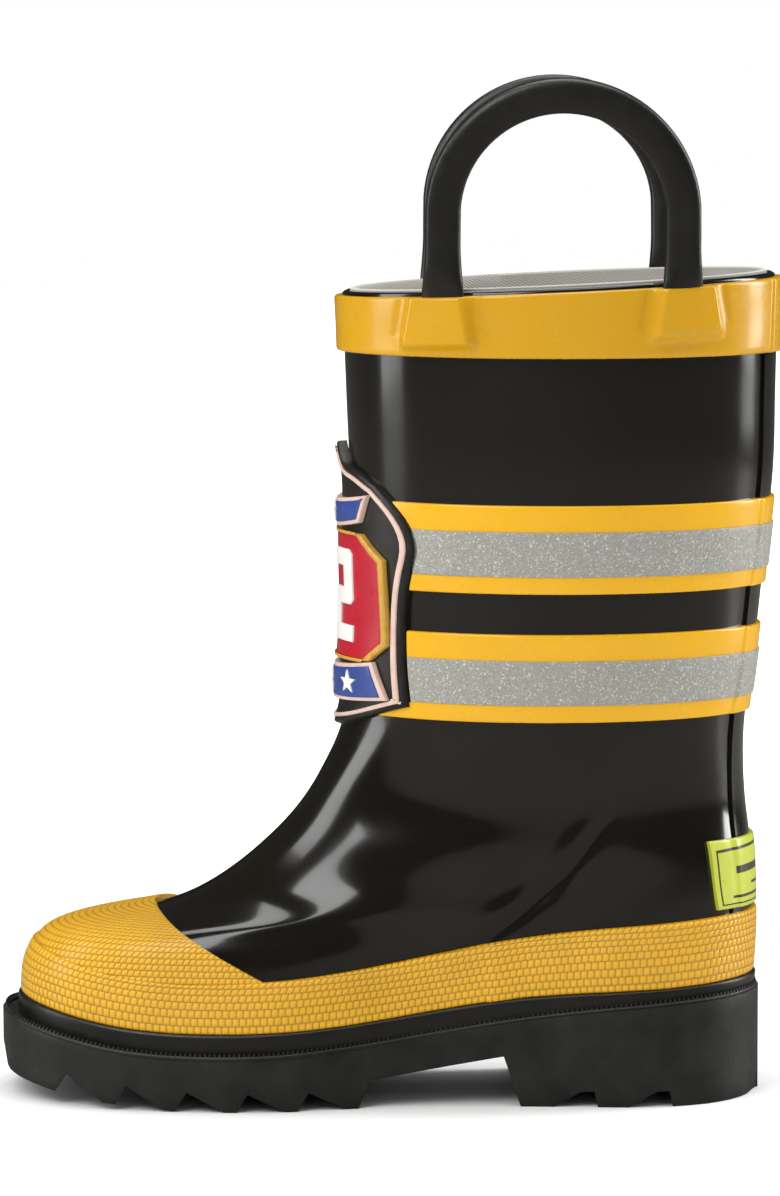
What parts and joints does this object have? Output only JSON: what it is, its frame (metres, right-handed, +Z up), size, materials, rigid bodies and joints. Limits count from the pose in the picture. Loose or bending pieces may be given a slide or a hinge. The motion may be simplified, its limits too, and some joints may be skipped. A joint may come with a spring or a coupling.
{
  "type": "fire boots",
  "caption": "Pull-on rubber rain boot in firefighter style: ribbed sole, yellow toe cap, reflective bands, front shield and two flexible pull handles.",
  "frame": {"origin": "bottom centre of the bounding box, on the floor the boot stands on", "axes": "toe towards -X, heel towards +X, outer (lateral) side of the left foot towards -Y, +Z up"},
  "size_m": [0.1847, 0.0844, 0.2404],
  "materials": {
    "sole_rubber": "moulded, semi-matt",
    "black_rubber": "smooth, satin",
    "black_gloss_rubber": "varnished, high gloss",
    "yellow_rubber": "varnished, glossy",
    "yellow_textured_rubber": "pressed with a fine basket-weave grain",
    "sponge": "open-cell, matt",
    "board": "pressed fibre",
    "insole_fabric": "knitted top cloth on foam",
    "stiffener": "matt",
    "lining_fabric": "cotton-like knit",
    "label_rubber": "smooth, satin",
    "piping_paint": "satin",
    "red_paint": "satin",
    "gold_paint": "satin",
    "white_paint": "satin",
    "blue_paint": "satin",
    "reflective_tape": "glass-bead reflective, sparkling"
  },
  "bodies": {
    "boot": {"outsole": "sole_rubber", "welt_strip": "sole_rubber", "rand_strip": "black_rubber", "foxing_strip": "yellow_textured_rubber", "toe_cap": "yellow_textured_rubber", "sponge_midsole": "sponge", "insole_board": "board", "insole": "insole_fabric", "heel_counter": "stiffener", "toe_puff": "stiffener", "lateral_upper": "black_gloss_rubber", "medial_upper": "black_gloss_rubber", "lining": "lining_fabric", "back_stay": "black_gloss_rubber", "heel_label": "label_rubber", "shield_plate": "black_rubber", "shield_piping": "piping_paint", "plaque": "red_paint", "plaque_frame": "gold_paint", "numeral": "white_paint", "upper_scroll": "blue_paint", "lower_scroll": "blue_paint", "scroll_stars": "white_paint", "lower_band": "yellow_rubber", "upper_band": "yellow_rubber", "lower_reflective_tape": "reflective_tape", "upper_reflective_tape": "reflective_tape", "collar_band": "yellow_rubber", "lateral_handle_feet": "black_rubber", "medial_handle_feet": "black_rubber"},
    "lateral_pull": {"lateral_handle": "black_rubber"},
    "medial_pull": {"medial_handle": "black_rubber"}
  },
  "joints": [
    {"name": "lateral_handle_flex", "type": "hinge", "parent": "boot", "child": "lateral_pull", "pos_m": [0.0396, -0.0352, 0.1966], "axis": [1, 0, 0], "range_deg": [-20, 50], "stiffness_Nm_per_rad": 0.12},
    {"name": "medial_handle_flex", "type": "hinge", "parent": "boot", "child": "medial_pull", "pos_m": [0.0396, 0.0352, 0.1966], "axis": [-1, 0, 0], "range_deg": [-20, 50], "stiffness_Nm_per_rad": 0.12}
  ]
}
